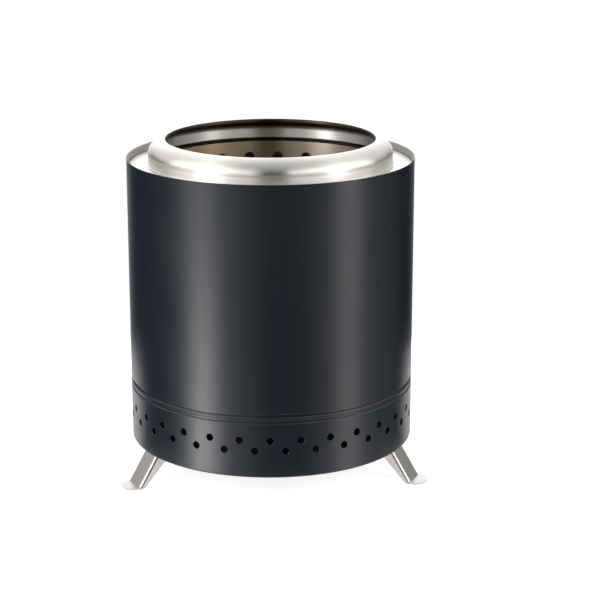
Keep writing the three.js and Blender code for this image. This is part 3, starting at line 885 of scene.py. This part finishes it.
def dished(name, node, floor, wall_top, sheet, edge, bends):
    """A dish with a turned-out rim, as high and as wide as a CAD node, from the radii of its
    floor and of its wall's top. bends holds the larger and smaller radius of the bend at its
    foot, and then those of the bend at its rim."""
    foot_bend, inner_foot_bend, rim_bend, inner_rim_bend = bends
    low, high, rim = extent(node, 2, 0), extent(node, 2, 1), extent(node, 0, 1)
    return turned(name, eased([
        (0, low, 0),
        (floor, low, foot_bend),
        (wall_top, high - sheet, inner_rim_bend),
        (rim, high - sheet),
        (rim, high),
        (wall_top - sheet, high, rim_bend),
        (floor - sheet, low + sheet, inner_foot_bend),
        (0, low + sheet, 0),
    ], edge, 4), PAN_STEPS)


class PIT_OT_fuel_grate(bpy.types.Operator):
    """Build the dished fuel grate with its rows of holes and its finger hole"""

    bl_idname = "pit.fuel_grate"
    bl_label = "Fuel grate"

    def execute(self, context):
        grate = context.scene.pit_chamber
        sheet = grate.grate_sheet
        dish = grate.ledge_radius - grate.grate_play
        piece = dished("grate_dish", "fuel_grate", dish, dish, sheet, edge=0.2 * MM,
                       bends=(1.6 * MM, 0.8 * MM, 1.2 * MM, 0.3 * MM))
        middle = extent("fuel_grate", 2, 0) + sheet / 2
        outer_row = dish - grate.grate_margin
        flare = 0.25 * MM
        drills = [moved(drill(grate.finger_hole, sheet, flare),
                        Matrix.Translation((0, 0, middle)))]
        for row, (share, holes) in enumerate(GRATE_ROWS):
            for hole in range(holes):
                turn = (hole + row / 2) * 2 * pi / holes
                reach = outer_row * share
                place = Vector((reach * cos(turn), reach * sin(turn), middle))
                tool = drill(grate.grate_hole, sheet, flare)
                drills.append(moved(tool, Matrix.Translation(place)))
        combined(piece, joined("grate_drills", drills), "DIFFERENCE")
        # The grate takes the heat scale, darkened as painted shade.
        finished(piece, "fuel_grate", "scale_and_shade_stainless", "grate")
        return {"FINISHED"}


class PIT_OT_ash_pan(bpy.types.Operator):
    """Build the shallow ash pan under the grate"""

    bl_idname = "pit.ash_pan"
    bl_label = "Ash pan"

    def execute(self, context):
        chamber = context.scene.pit_chamber
        wall_top = extent("ash_pan", 0, 1) - chamber.pan_rim
        pan = dished("pan", "ash_pan", wall_top - chamber.pan_flare, wall_top,
                     chamber.pan_sheet, edge=0.15 * MM,
                     bends=(2 * MM, 1.3 * MM, 0.7 * MM, 0.2 * MM))
        finished(pan, "ash_pan", "plate_steel", "pan")
        return {"FINISHED"}


# Legs, brackets, pins and rivets


def leg_foot(legs):
    """Radius at which a leg's outer face meets the ground."""
    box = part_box("leg_rear")
    return box[1][1] - legs.tab


def pivot_along(legs):
    """How far up a leg's outer face its pivot lies."""
    return (-legs.pivot_drop - GROUND + legs.ear * sin(legs.splay)) / cos(legs.splay)


def leg_pivot(legs):
    """The pivot of a leg that lies on the X axis."""
    along = pivot_along(legs)
    radius = leg_foot(legs) - along * sin(legs.splay) - legs.ear * cos(legs.splay)
    return Vector((radius, 0, -legs.pivot_drop))


def rivet_places(legs, pivot, height):
    """The middles of a bracket's two rivets, for a leg on the X axis with its pivot there."""
    return [Vector((pivot - legs.rivet_inset, side * legs.rivet_spacing / 2, height))
            for side in (-1, 1)]


def leg_channel(legs):
    """A leg's channel, upright on its foot edge: X outwards, Y across, Z up, with the foot edge
    of its outer face on the Y axis."""
    splay = legs.splay
    half = legs.width / 2
    along = pivot_along(legs)
    depth = 2 * legs.ear + CUT_OVERRUN
    height = along + legs.ear + CUT_OVERRUN
    middle = half - legs.bend
    inner_bend = legs.bend - legs.sheet
    outside = extruded("channel_outside", [
        (-half, depth),
        *arc((-middle, legs.bend), legs.bend, 180, 270, 8),
        *arc((middle, legs.bend), legs.bend, 270, 360, 8),
        (half, depth),
    ], height)
    inside = extruded("channel_inside", [
        (legs.sheet - half, depth + CUT_OVERRUN),
        *arc((-middle, legs.bend), inner_bend, 180, 270, 5),
        *arc((middle, legs.bend), inner_bend, 270, 360, 5),
        (half - legs.sheet, depth + CUT_OVERRUN),
    ], height + 2 * CUT_OVERRUN)
    moved(inside, Matrix.Translation((0, 0, -CUT_OVERRUN)))
    side = extruded("channel_side", [
        (0, 0),
        (legs.flange, legs.flange * tan(splay)),
        *arc((legs.ear, along), legs.ear, 0, 180, 24),
    ], legs.width + 2 * CUT_OVERRUN)
    moved(side, Matrix.Translation((0, 0, -half - CUT_OVERRUN)))
    # Stands the side up: its X becomes Y, its Y becomes Z, and its thickness lies along X.
    moved(side, Matrix(((0, 0, 1, 0), (1, 0, 0, 0), (0, 1, 0, 0), (0, 0, 0, 1))))
    combined(outside, side, "INTERSECT")
    combined(outside, inside, "DIFFERENCE")
    lean = Matrix((
        (0, -cos(splay), -sin(splay), 0),
        (1, 0, 0, 0),
        (0, -sin(splay), cos(splay), 0),
        (0, 0, 0, 1),
    ))
    return moved(outside, lean)


def foot_tab(legs):
    half = legs.width / 2
    heel = -legs.sheet / cos(legs.splay)
    corner_x = legs.tab - legs.tab_corner
    corner_y = half - legs.tab_corner
    return extruded("foot_tab", [
        (heel, -half),
        *arc((corner_x, -corner_y), legs.tab_corner, 270, 360, 12),
        *arc((corner_x, corner_y), legs.tab_corner, 0, 90, 12),
        (heel, half),
    ], legs.sheet)


def pivot_drill(legs, reach):
    tool = drill(legs.pin + BORE_PLAY, reach)
    return moved(tool, Matrix.Rotation(pi / 2, 4, "X"))


class PIT_OT_legs(bpy.types.Operator):
    """Build the three pressed legs with their foot tabs"""

    bl_idname = "pit.legs"
    bl_label = "Legs"

    def execute(self, context):
        legs = context.scene.pit_legs
        pivot = leg_pivot(legs)
        for place, azimuth in LEG_AZIMUTHS.items():
            leg = combined(leg_channel(legs), foot_tab(legs), "UNION")
            moved(leg, Matrix.Translation((leg_foot(legs) - pivot.x, 0, GROUND - pivot.z)))
            combined(leg, pivot_drill(legs, legs.width), "DIFFERENCE")
            softened(leg, legs.leg_edge)
            moved(leg, azimuth_turn(azimuth) @ Matrix.Translation(pivot))
            leg.name = "pressed_leg_" + place
            finished(leg, "leg_" + place, "leg_stainless", place + "_leg")
        return {"FINISHED"}


class PIT_OT_leg_brackets(bpy.types.Operator):
    """Build the brackets that carry the legs under the base plate"""

    bl_idname = "pit.leg_brackets"
    bl_label = "Leg brackets"

    def execute(self, context):
        legs = context.scene.pit_legs
        pivot = leg_pivot(legs)
        half = legs.width / 2 + GAP + legs.sheet
        top = legs.pivot_drop - GAP
        for place, azimuth in LEG_AZIMUTHS.items():
            outline = [
                (-legs.bracket_reach, top),
                *arc((0, 0), legs.bracket_ear, 180, 360, 16),
                (legs.bracket_ear, top),
            ]
            stand = Matrix.Rotation(pi / 2, 4, "X")
            block = moved(extruded("bracket", outline, 2 * half),
                          Matrix.Translation((0, half, 0)) @ stand)
            room_half = half - legs.sheet
            room = moved(extruded("bracket_room", [
                (-legs.bracket_reach - CUT_OVERRUN, top - legs.sheet),
                (-legs.bracket_reach - CUT_OVERRUN, -legs.bracket_ear - CUT_OVERRUN),
                (legs.bracket_ear + CUT_OVERRUN, -legs.bracket_ear - CUT_OVERRUN),
                (legs.bracket_ear + CUT_OVERRUN, top - legs.sheet),
            ], 2 * room_half), Matrix.Translation((0, room_half, 0)) @ stand)
            combined(block, room, "DIFFERENCE")
            drills = [pivot_drill(legs, 2 * half)]
            for spot in rivet_places(legs, 0, top - legs.sheet / 2):
                drills.append(moved(drill(legs.rivet + BORE_PLAY, legs.sheet),
                                    Matrix.Translation(spot)))
            combined(block, joined("bracket_drills", drills), "DIFFERENCE")
            softened(block, legs.bracket_edge)
            moved(block, azimuth_turn(azimuth) @ Matrix.Translation(pivot))
            block.name = "bracket_" + place
            finished(block, "leg_bracket_" + place, "plate_steel", "drum")
        return {"FINISHED"}


def fastener(name, radius, head, dome, grip, steps=48):
    """A fastener along Z, centred on the origin, with a low domed head at each end."""
    upper = [
        (radius, grip / 2),
        (head, grip / 2),
        *[(radius + (head - radius) * cos(turn), grip / 2 + dome * (0.5 + sin(turn) / 2))
          for turn in (radians(15 * step) for step in range(7))],
        (0, grip / 2 + dome),
    ]
    outline = [(r, -z) for r, z in reversed(upper)] + upper
    return turned(name, outline, steps)


class PIT_OT_fasteners(bpy.types.Operator):
    """Build the pivot pins and the rivets"""

    bl_idname = "pit.fasteners"
    bl_label = "Pins and rivets"

    def execute(self, context):
        legs = context.scene.pit_legs
        drum = context.scene.pit_drum
        pivot = leg_pivot(legs)
        half = legs.width / 2 + GAP + legs.sheet
        for place, azimuth in LEG_AZIMUTHS.items():
            pin = fastener("pivot_pin_" + place, legs.pin, legs.pin_head, legs.pin_dome,
                           2 * (half + GAP))
            lie = Matrix.Translation(pivot) @ Matrix.Rotation(pi / 2, 4, "X")
            moved(pin, azimuth_turn(azimuth) @ lie)
            finished(pin, "leg_pin_" + place, "leg_stainless", "drum")
            grip = drum.plate_sheet + legs.sheet + 3 * GAP
            middle = (drum.plate_sheet - GAP - legs.sheet) / 2
            for index, spot in enumerate(rivet_places(legs, pivot.x, middle), 1):
                rivet = fastener(f"rivet_{place}_{index}", legs.rivet, legs.rivet_head,
                                 legs.rivet_dome, grip)
                moved(rivet, azimuth_turn(azimuth) @ Matrix.Translation(spot))
                finished(rivet, f"bracket_rivet_{place}_{index}", "leg_stainless", "drum")
        return {"FINISHED"}


# Stage

# Each lamp's name, its azimuth from the front in degrees, its distance from the axis, its
# width, its height and the height of its middle, and the stage's setting for its brightness.
LAMPS = (
    ("left_streak", -58, 0.9, 0.4, 0.8, 0.25, "streak"),
    ("low_left_streak", -57, 0.9, 0.25, 0.5, -0.42, "low_streak"),
    ("high_left_streak", -61, 0.88, 0.22, 0.5, 0.55, "high_streak"),
    ("left_fill", -42, 0.92, 1.0, 0.8, -0.45, "left_fill"),
    ("right_streak", 59, 0.9, 0.28, 1.2, -0.1, "right_streak"),
    ("right_fill", 70, 0.92, 1.6, 0.8, -0.45, "right_fill"),
    ("left_softbox", -61, 0.95, 2.0, 0.9, 0.65, "softbox"),
    ("right_softbox", 60, 0.95, 2.0, 0.9, 0.65, "softbox"),
)


def soft_lamp(name, azimuth, distance, width, height, middle, brightness):
    """An upright rectangular lamp that faces the axis, at an azimuth from the front in degrees."""
    data = bpy.data.lights.new(name, "AREA")
    data.shape = "RECTANGLE"
    data.size = width
    data.size_y = height
    data.energy = brightness * pi * width * height
    lamp = bpy.data.objects.new(name, data)
    bpy.context.scene.collection.objects.link(lamp)
    turn = radians(azimuth)
    lamp.location = (distance * sin(turn), -distance * cos(turn), middle)
    lamp.rotation_euler = (pi / 2, 0, turn)
    lamp.visible_camera = False


def floor_outline(stage):
    """The floor's outline. It reaches further behind the pit, where the shadow falls, than in
    front, where the drum's wall would mirror it."""
    points = []
    for turn in (2 * pi * step / FLOOR_STEPS for step in range(FLOOR_STEPS)):
        from_front = degrees(min(turn, 2 * pi - turn))
        # It widens over 40 degrees, from the sides on.
        share = min(max((from_front - 90) / 40, 0), 1)
        growth = share ** 2 * (3 - 2 * share)
        reach = stage.floor_front + (stage.floor_back - stage.floor_front) * growth
        points.append((reach * sin(turn), -reach * cos(turn)))
    return points


class PIT_OT_stage(bpy.types.Operator):
    """Set the floor, the lamps, the white background and the camera"""

    bl_idname = "pit.stage"
    bl_label = "Stage"

    def execute(self, context):
        scene = context.scene
        stage = scene.pit_stage
        scene.view_settings.view_transform = "Standard"

        camera_data = bpy.data.cameras.new("camera")
        camera_data.lens = stage.lens
        camera_data.sensor_width = 36
        camera_data.clip_start = 0.01
        camera = bpy.data.objects.new("camera", camera_data)
        camera.location = stage.camera_place
        camera.rotation_euler = stage.camera_turn
        scene.collection.objects.link(camera)
        scene.camera = camera

        floor = extruded("floor", floor_outline(stage), FLOOR_SHEET)
        moved(floor, Matrix.Translation((0, 0, GROUND - FLOOR_SHEET)))
        floor.data.materials.append(pale_floor(scene.pit_colours, stage.floor_lift))

        for *place, setting in LAMPS:
            soft_lamp(*place, getattr(stage, setting))
        studio_world(scene, stage.room, stage.sheet)
        return {"FINISHED"}


def pale_floor(colours, lift_strength):
    """A matt pale board. It adds light only for what sees it directly, so that it is as white as
    the background and still shows the pit's shadow."""
    material = new_material("board_matt_white")
    place = add_node(material, "ShaderNodeTexCoord").outputs["Object"]
    # The board's grain, about 2 mm across.
    _, rough = patterned(material, place, 2 * MM, 0.85, 0.95)
    path = add_node(material, "ShaderNodeLightPath")
    seen = path.outputs["Is Camera Ray"]
    for ray in ("Is Glossy Ray", "Is Transmission Ray"):
        seen = add_node(material, "ShaderNodeMath", {0: seen, 1: path.outputs[ray]},
                        operation="MAXIMUM")
    lift = add_node(material, "ShaderNodeMath", {0: seen, 1: lift_strength},
                    operation="MULTIPLY")
    return surfaced(material, {
        "Base Color": colours.floor, "Roughness": rough, "Specular IOR Level": 0.0,
        "Emission Color": WHITE, "Emission Strength": lift})


def studio_world(scene, brightness, sheet_brightness):
    """White for the camera. For reflections and as light, the room is pale above the pit, bright
    over an upright white sheet behind it, and dark towards the camera and below the pit."""
    world = bpy.data.worlds.new("studio")
    world.use_nodes = True
    world.node_tree.nodes.clear()
    direction = add_node(world, "ShaderNodeTexCoord").outputs["Generated"]
    lean = add_node(world, "ShaderNodeSeparateXYZ", {"Vector": direction})
    # The brightness changes smoothly with one part of the direction: the part, where the change
    # starts and ends, and the brightness at the two ends.
    parts = {
        "front to sides": ("Y", -0.95, -0.3, 0.02, 0.48),
        "back": ("Y", 0.3, 0.7, 0.0, 0.3),
        "left": ("X", -0.4, -0.9, 0.0, 0.15),
        "sheet, left edge": ("X", -0.34, -0.16, 0.0, 1.0),
        "sheet, right edge": ("X", 0.34, 0.16, 0.0, 1.0),
        "sheet, upper edge": ("Y", 0.52, 0.64, 0.0, sheet_brightness),
        "above": ("Z", 0.0, 0.25, 0.0, brightness),
        "straight back": ("Y", 0.8, 1.0, 0.0, brightness),
    }
    ramps = {
        name: add_node(world, "ShaderNodeMapRange", {
            "Value": lean.outputs[part], "From Min": start, "From Max": end,
            "To Min": low, "To Max": high}, interpolation_type="SMOOTHSTEP")
        for name, (part, start, end, low, high) in parts.items()
    }
    sheet = ramps["sheet, left edge"]
    for name in ("sheet, right edge", "sheet, upper edge"):
        sheet = add_node(world, "ShaderNodeMath", {0: sheet, 1: ramps[name]},
                         operation="MULTIPLY")
    path = add_node(world, "ShaderNodeLightPath")
    strength = ramps["front to sides"]
    for operation, other in (
            ("ADD", ramps["back"]), ("ADD", ramps["left"]), ("ADD", sheet),
            ("MULTIPLY", ramps["above"]), ("MAXIMUM", ramps["straight back"]),
            ("MAXIMUM", path.outputs["Is Camera Ray"]),
            ("MAXIMUM", path.outputs["Is Transmission Ray"])):
        strength = add_node(world, "ShaderNodeMath", {0: strength, 1: other},
                            operation=operation)
    light = add_node(world, "ShaderNodeBackground", {"Color": WHITE, "Strength": strength})
    add_node(world, "ShaderNodeOutputWorld", {"Surface": light})
    scene.world = world


# Panel and registration

OPERATORS = (
    PIT_OT_outer_shell,
    PIT_OT_base_band,
    PIT_OT_deck_ring,
    PIT_OT_base_plate,
    PIT_OT_burn_chamber,
    PIT_OT_chamber_floor,
    PIT_OT_flame_ring,
    PIT_OT_fuel_grate,
    PIT_OT_ash_pan,
    PIT_OT_legs,
    PIT_OT_leg_brackets,
    PIT_OT_fasteners,
    PIT_OT_stage,
)

SETTINGS = {
    "pit_drum": PitDrumSizes,
    "pit_chamber": PitChamberSizes,
    "pit_legs": PitLegSizes,
    "pit_colours": PitColours,
    "pit_stage": PitStage,
}


class PIT_PT_panel(bpy.types.Panel):
    """Lists the steps that build the fire pit"""

    bl_idname = "PIT_PT_panel"
    bl_label = "Smokeless fire pit"
    bl_space_type = "VIEW_3D"
    bl_region_type = "UI"
    bl_category = "Fire pit"

    def draw(self, context):
        for operator in OPERATORS:
            self.layout.operator(operator.bl_idname)
        for name, group in SETTINGS.items():
            box = self.layout.box()
            box.label(text=group.__doc__)
            settings = getattr(context.scene, name)
            for field in group.__annotations__:
                box.prop(settings, field)


CLASSES = (*SETTINGS.values(), *OPERATORS, PIT_PT_panel)


def register():
    for cls in CLASSES:
        bpy.utils.register_class(cls)
    for name, group in SETTINGS.items():
        setattr(bpy.types.Scene, name, bpy.props.PointerProperty(type=group))


def unregister():
    for name in SETTINGS:
        delattr(bpy.types.Scene, name)
    for cls in reversed(CLASSES):
        bpy.utils.unregister_class(cls)


def main():
    register()
    for operator in OPERATORS:
        group, name = operator.bl_idname.split(".")
        getattr(getattr(bpy.ops, group), name)()


if __name__ == "__main__":
    main()
